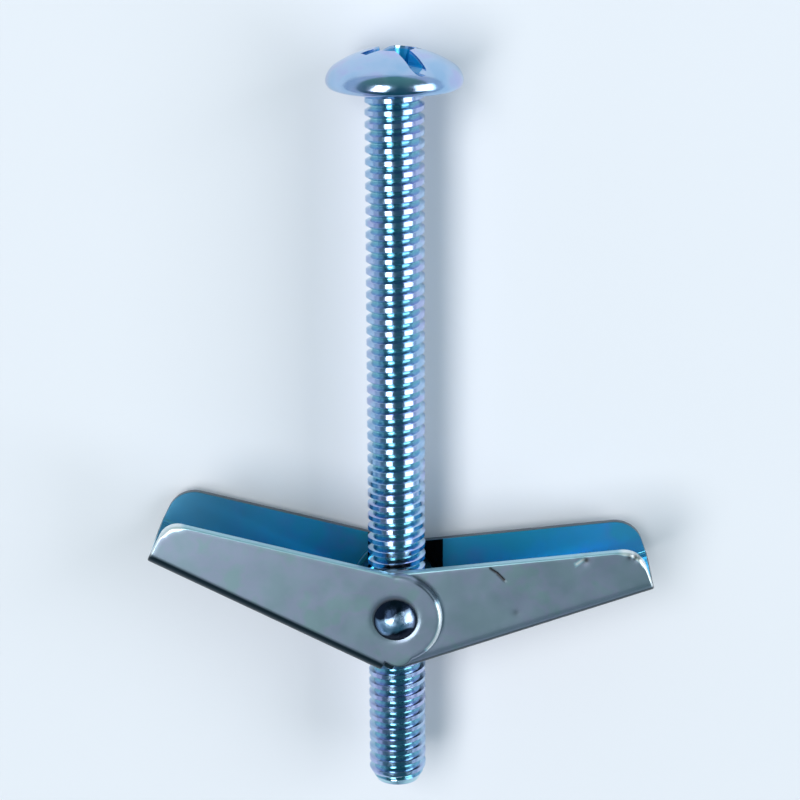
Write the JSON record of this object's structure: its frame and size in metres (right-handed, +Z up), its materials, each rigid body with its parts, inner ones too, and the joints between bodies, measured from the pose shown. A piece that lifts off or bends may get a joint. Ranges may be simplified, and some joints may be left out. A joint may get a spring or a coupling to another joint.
{
  "type": "spring toggle bolt",
  "caption": "Truss-head machine screw with a sprung toggle: a nut with stub pins carries two folded steel wings that fold to pass a hole and spring open behind a hollow wall.",
  "frame": {"origin": "centre of the screw head's flat bearing face", "axes": "+Y along the screw's axis towards its head, so the shank runs along -Y; +Z up along the hinge pin, with the bolt lying on its side; the outer wing is at -X and the inner wing at +X"},
  "size_m": [0.0534, 0.08, 0.0148],
  "materials": {
    "plated_screw": "bright zinc plate with a blue chromate passivate",
    "plated_nut": "bright zinc plate with a blue chromate passivate",
    "plated_sheet": "satin zinc plate with a blue chromate passivate",
    "spring_wire": "drawn music wire"
  },
  "bodies": {
    "screw": {"screw": "plated_screw"},
    "nut": {"trunnion_nut": "plated_nut", "spring": "spring_wire"},
    "wing_left": {"wing_left": "plated_sheet"},
    "wing_right": {"wing_right": "plated_sheet"}
  },
  "joints": [
    {"name": "nut_travel", "type": "slide", "parent": "screw", "child": "nut", "axis": [0, 1, 0], "range_m": [-0.025, 0.027]},
    {"name": "wing_left_fold", "type": "hinge", "parent": "nut", "child": "wing_left", "pos_m": [0, -0.05515, 0], "axis": [0, 0, -1], "range_deg": [0, 63.5], "stiffness_Nm_per_rad": 0.012, "springref_deg": -22.92, "deforming": ["spring"]},
    {"name": "wing_right_fold", "type": "hinge", "parent": "nut", "child": "wing_right", "pos_m": [0, -0.05515, 0], "axis": [0, 0, 1], "range_deg": [0, 70.9], "stiffness_Nm_per_rad": 0.012, "springref_deg": -22.92, "deforming": ["spring"]}
  ]
}
